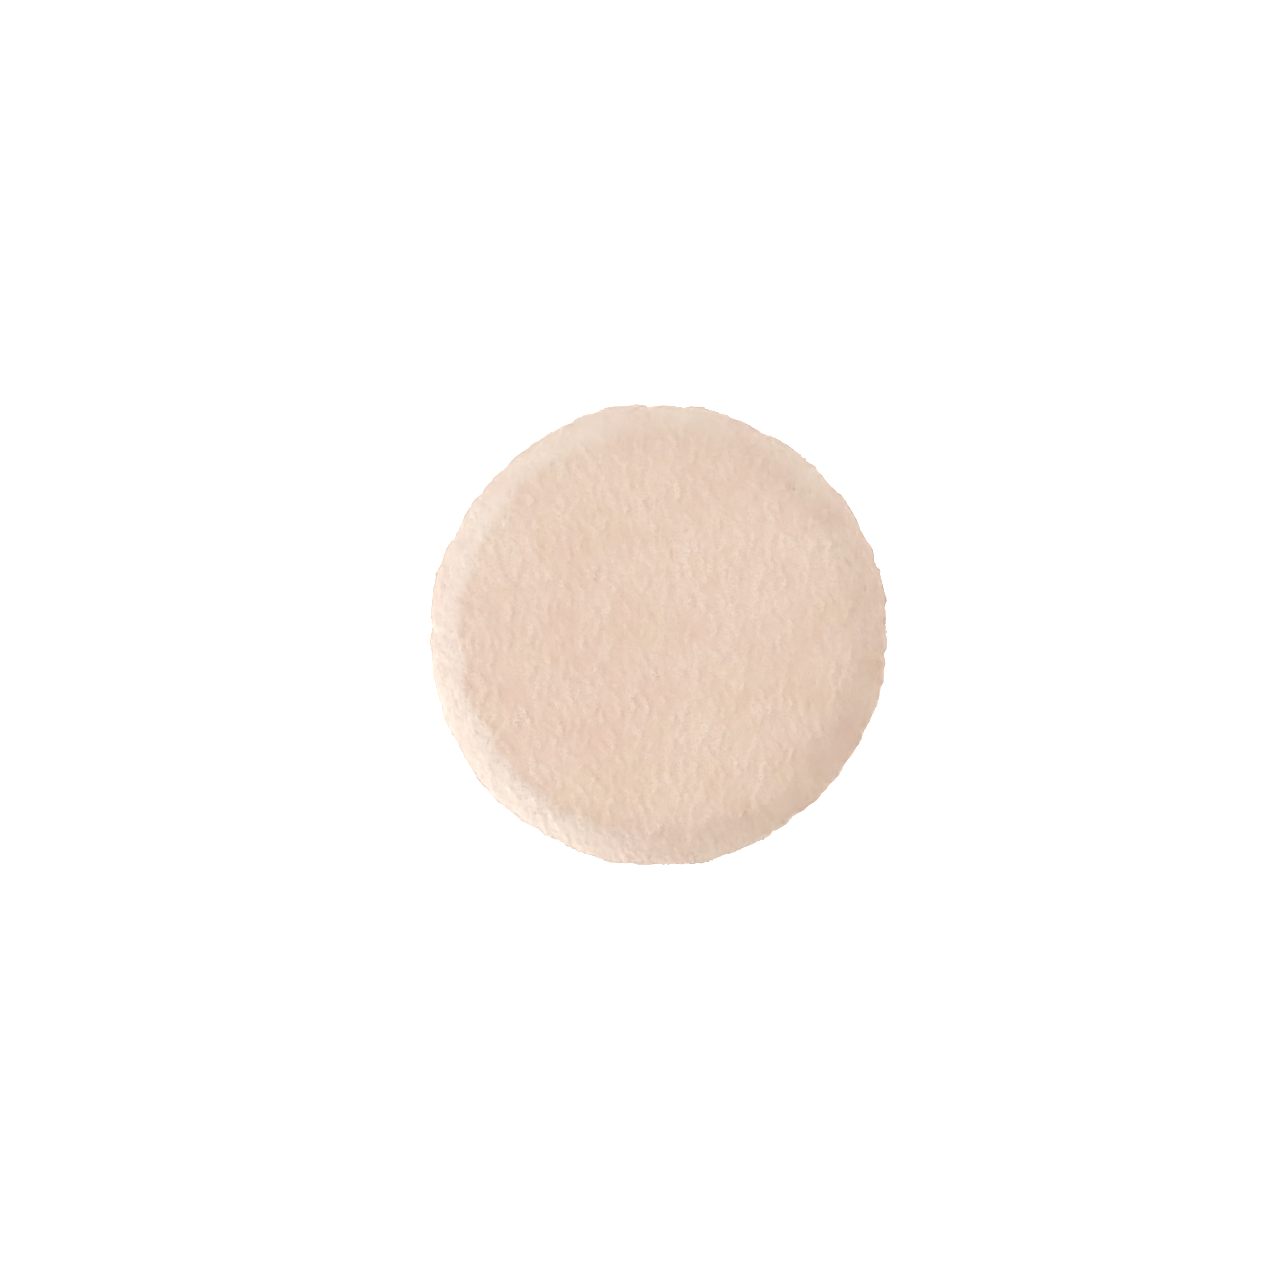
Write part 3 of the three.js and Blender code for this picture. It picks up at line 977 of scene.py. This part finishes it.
def rounded_path(stations):
    """Evenly spaced points on the straight runs between stations, each then moved to the mean of
    itself and its neighbours, a few times, so that the corners are rounded."""
    run = np.concatenate([[0], np.cumsum(np.linalg.norm(np.diff(stations, axis=0), axis=1))])
    place = np.linspace(0, run[-1], round(run[-1] / THREAD_STEP))
    path = np.stack([np.interp(place, run, line) for line in stations.T], -1)
    for _ in range(ROUNDING_PASSES):
        path[1:-1] = (path[:-2] + path[1:-1] + path[2:]) / 3
    return path


def ply_faces(count):
    """Triangles of all plies of a thread: two for each side from ring to ring, and a fan at both ends, round
    the two points that follow a ply's rings."""
    index = np.arange(count * PLY_SIDES).reshape(count, PLY_SIDES)
    beside = np.roll(index, -1, axis=1)
    walls = np.stack([index[:-1], beside[:-1], beside[1:], index[1:]], -1).reshape(-1, 4)
    start, end = index.size, index.size + 1
    start_fan = np.stack([beside[0], index[0], np.full(PLY_SIDES, start)], -1)
    end_fan = np.stack([index[-1], beside[-1], np.full(PLY_SIDES, end)], -1)
    ply = np.concatenate([walls[:, [0, 1, 2]], walls[:, [0, 2, 3]], start_fan, end_fan])
    return (ply + (index.size + 2) * np.arange(THREAD_PLIES)[:, None, None]).reshape(-1, 3)


def twisted_thread(name, sizes, stations, material):
    """A thread of three plies carried along a path: the middle of each ply goes round the path as a
    helix, and a ring of points goes round that middle. Each ply is closed by a point at both ends."""
    path = rounded_path(stations)
    tangent = unit(np.gradient(path, axis=0))
    outward = unit(path * [1, 1, 0])
    first = unit(outward - tangent * np.sum(outward * tangent, axis=1, keepdims=True))
    second = np.cross(tangent, first)[:, None, None]
    first = first[:, None, None]
    way = np.concatenate([[0], np.cumsum(np.linalg.norm(np.diff(path, axis=0), axis=1))])
    ply_radius = sizes.thread_width / (2 + 4 / math.sqrt(3)) * PLY_SWELL
    turn = 2 * math.pi * (way[:, None] / TWIST_LENGTH + np.arange(THREAD_PLIES) / THREAD_PLIES)
    turn = turn[..., None]
    middle = path[:, None, None] + (sizes.thread_width / 2 - ply_radius) * turned(first, second, turn)
    sides = np.arange(PLY_SIDES) * 2 * math.pi / PLY_SIDES
    rings = np.moveaxis(middle + ply_radius * turned(first, second, turn + sides), 1, 0)
    caps = np.moveaxis(middle[[0, -1], :, 0], 1, 0)
    points = np.concatenate([rings.reshape(THREAD_PLIES, -1, 3), caps], axis=1)

    faces = ply_faces(len(path))
    thread = mesh_object(name, points.reshape(-1, 3), faces)
    ring_place = np.stack(np.broadcast_arrays(way[:, None] / MM, np.arange(PLY_SIDES) / PLY_SIDES), -1)
    cap_place = np.array([[0, 0.5], [way[-1] / MM, 0.5]])
    place = np.concatenate([ring_place.reshape(-1, 2), cap_place])
    lay_map(thread, "cloth", np.tile(place, (THREAD_PLIES, 1)), faces)
    dress(thread, material, "thread", name.replace("_yarn", "_thread"))


# From the middle of one thread to the middle of the other where they lock, in widths of a thread
LOCK_PITCH = 1.5


def lockstitch_stations(sizes, angles, side):
    """Stations of one thread of the lockstitch, on the face's side or the back's. In every hole it goes
    in on one diagonal and comes out on the other, under the loop of the second thread."""
    top = THREAD_TOP - sizes.thread_width / 2
    pitch = LOCK_PITCH * sizes.thread_width
    leg = pitch / math.sqrt(2)
    along = np.array([-leg, -leg, leg, leg])
    height = np.array([top, -pitch / 2, -pitch / 2, top])
    holes = stitch_points(sizes, angles[:, None], along, -side * along, side * height).reshape(-1, 3)
    start = stitch_points(sizes, angles[0], -sizes.thread_tail, 0.0, side * top)
    end = stitch_points(sizes, angles[-1], sizes.thread_tail, 0.0, side * top)
    return np.concatenate([start[None], holes, end[None]])


def closing_stations(sizes, angles):
    """Stations of the hand stitch over the turning gap, through the holes by turns down and up."""
    top = THREAD_TOP - sizes.thread_width / 2
    down = np.where(np.arange(len(angles)) % 2 == 0, 1, -1)
    height = np.stack([down * top, -down * top], -1)
    holes = stitch_points(sizes, angles[:, None] + 0 * height, 0.0, 0.0, height).reshape(-1, 3)
    start = stitch_points(sizes, angles[0], -sizes.thread_tail, 0.0, top)
    end = stitch_points(sizes, angles[-1], sizes.thread_tail, 0.0, height[-1, 1])
    return np.concatenate([start[None], holes, end[None]])


class PUFF_OT_seam(bpy.types.Operator):
    """Sews the seam: needle and bobbin thread of the lockstitch, and the hand stitch over the gap"""

    bl_idname = "puff.seam"
    bl_label = "Sewn seam"

    def execute(self, context):
        sizes, colours = context.scene.puff_sizes, context.scene.puff_colours
        material = thread_material(colours)
        holes = round(2 * math.pi * (PUFF_RADIUS - sizes.stitch_inset) / sizes.stitch_length)
        sewn = holes - round(sizes.turning_gap / sizes.stitch_length)
        angles = (np.arange(holes) + 0.5) * 2 * math.pi / holes
        twisted_thread("needle_yarn", sizes, lockstitch_stations(sizes, angles[:sewn], 1), material)
        twisted_thread("bobbin_yarn", sizes, lockstitch_stations(sizes, angles[:sewn], -1), material)
        twisted_thread("closing_yarn", sizes, closing_stations(sizes, angles[sewn:]), material)
        return {"FINISHED"}


# The photograph's frame, the puff's place in it and its width there, in pixels
FRAME_PIXELS = 1280
PUFF_PIXEL = (658.2, 634.9)
PUFF_PIXELS_WIDE = 457.0

# Lens of the camera and width of its sensor, in mm
LENS = 100
SENSOR = 36

# Half the floor's width in metres, how far it lies under the puff, and the strength of its glow
FLOOR_REACH = 1.5
FLOOR_DROP = 0.02 * MM
FLOOR_GLOW = 0.95

# Strength of the even sky, and the lamps: name, azimuth, elevation and power in watts
SKY_STRENGTH = 0.36
LAMPS = (("key", 180, 25, 1.8), ("side", 240, 45, 1.75), ("fill", 45, 25, 2.2))

# How far the lamps stand from the puff and how wide they are, in metres
LAMP_DISTANCE = 0.6
LAMP_SIZE = 0.5


def paper_material():
    """White paper, uncoated: matt, with a glow of its own that keeps it as white as a cut-out's ground."""
    material, tree = new_material("white_paper")
    surface = add_node(tree, "ShaderNodeBsdfPrincipled", {
        "Base Color": linear("#F2F2F2"), "Roughness": 0.9, "Specular IOR Level": 0.1,
        "Emission Color": linear("#FFFFFF"), "Emission Strength": FLOOR_GLOW})
    add_node(tree, "ShaderNodeOutputMaterial", {"Surface": surface.outputs["BSDF"]})
    return material


def add_lamp(name, azimuth, elevation, power):
    """A square soft light that shines on the puff from a direction given in degrees."""
    light = bpy.data.lights.new(name, "AREA")
    light.shape = "SQUARE"
    light.size = LAMP_SIZE
    light.energy = power
    holder = bpy.data.objects.new(name, light)
    turn, rise = math.radians(azimuth), math.radians(elevation)
    way = Vector((math.cos(turn) * math.cos(rise), math.sin(turn) * math.cos(rise), math.sin(rise)))
    holder.location = way * LAMP_DISTANCE
    holder.rotation_euler = way.to_track_quat("Z", "Y").to_euler()
    bpy.context.scene.collection.objects.link(holder)


def add_camera(scene):
    """A camera that looks straight down, as far up as makes the puff as wide in the frame as in the
    photograph, and moved aside by as much as the puff lies from the middle there."""
    camera = bpy.data.cameras.new("camera")
    camera.lens = LENS
    camera.sensor_width = SENSOR
    camera.clip_start, camera.clip_end = 0.01, 10
    eye = bpy.data.objects.new("camera", camera)
    pixel = 2 * PUFF_RADIUS / PUFF_PIXELS_WIDE
    distance = FRAME_PIXELS * pixel * LENS / SENSOR
    right = (PUFF_PIXEL[0] - FRAME_PIXELS / 2) * pixel
    up = (FRAME_PIXELS / 2 - PUFF_PIXEL[1]) * pixel
    eye.location = (-right, -up, SEAM_HEIGHT + distance)
    scene.collection.objects.link(eye)
    scene.camera = eye


class PUFF_OT_stage(bpy.types.Operator):
    """Lays a white floor, sets the lights and looks straight down on the puff"""

    bl_idname = "puff.stage"
    bl_label = "Stage"

    def execute(self, context):
        scene = context.scene
        corners = np.array([[-1, -1, 0], [1, -1, 0], [1, 1, 0], [-1, 1, 0]]) * FLOOR_REACH
        floor = mesh_object("floor", corners - [0, 0, FLOOR_DROP], np.array([[0, 1, 2, 3]]))
        floor.data.materials.append(paper_material())

        world = bpy.data.worlds.new("studio")
        world.use_nodes = True
        sky = world.node_tree.nodes["Background"]
        sky.inputs["Color"].default_value = linear("#FFFFFF")
        sky.inputs["Strength"].default_value = SKY_STRENGTH
        scene.world = world
        for name, azimuth, elevation, power in LAMPS:
            add_lamp(name, azimuth, elevation, power)
        add_camera(scene)
        scene.view_settings.view_transform = "Standard"
        return {"FINISHED"}


OPERATORS = (PUFF_OT_stage, PUFF_OT_covers, PUFF_OT_pile, PUFF_OT_filling, PUFF_OT_seam)


class PUFF_PT_builder(bpy.types.Panel):
    """Sizes and colours of the puff, and the steps that build it"""

    bl_idname = "PUFF_PT_builder"
    bl_label = "Powder puff"
    bl_space_type = "VIEW_3D"
    bl_region_type = "UI"
    bl_category = "Puff"

    def draw(self, context):
        for group in (context.scene.puff_sizes, context.scene.puff_colours):
            box = self.layout.box()
            for name in group.__annotations__:
                box.prop(group, name)
        for step in OPERATORS:
            self.layout.operator(step.bl_idname)


CLASSES = (PuffSizes, PuffColours, *OPERATORS, PUFF_PT_builder)


def register():
    """Adds the puff's classes to Blender, and its sizes and colours to every scene."""
    for part in CLASSES:
        bpy.utils.register_class(part)
    bpy.types.Scene.puff_sizes = PointerProperty(type=PuffSizes)
    bpy.types.Scene.puff_colours = PointerProperty(type=PuffColours)


def unregister():
    """Takes away what register added."""
    del bpy.types.Scene.puff_colours
    del bpy.types.Scene.puff_sizes
    for part in reversed(CLASSES):
        bpy.utils.unregister_class(part)


def main():
    """Builds the puff on its stage."""
    register()
    bpy.ops.puff.stage()
    bpy.ops.puff.covers()
    bpy.ops.puff.pile()
    bpy.ops.puff.filling()
    bpy.ops.puff.seam()


if __name__ == "__main__":
    main()
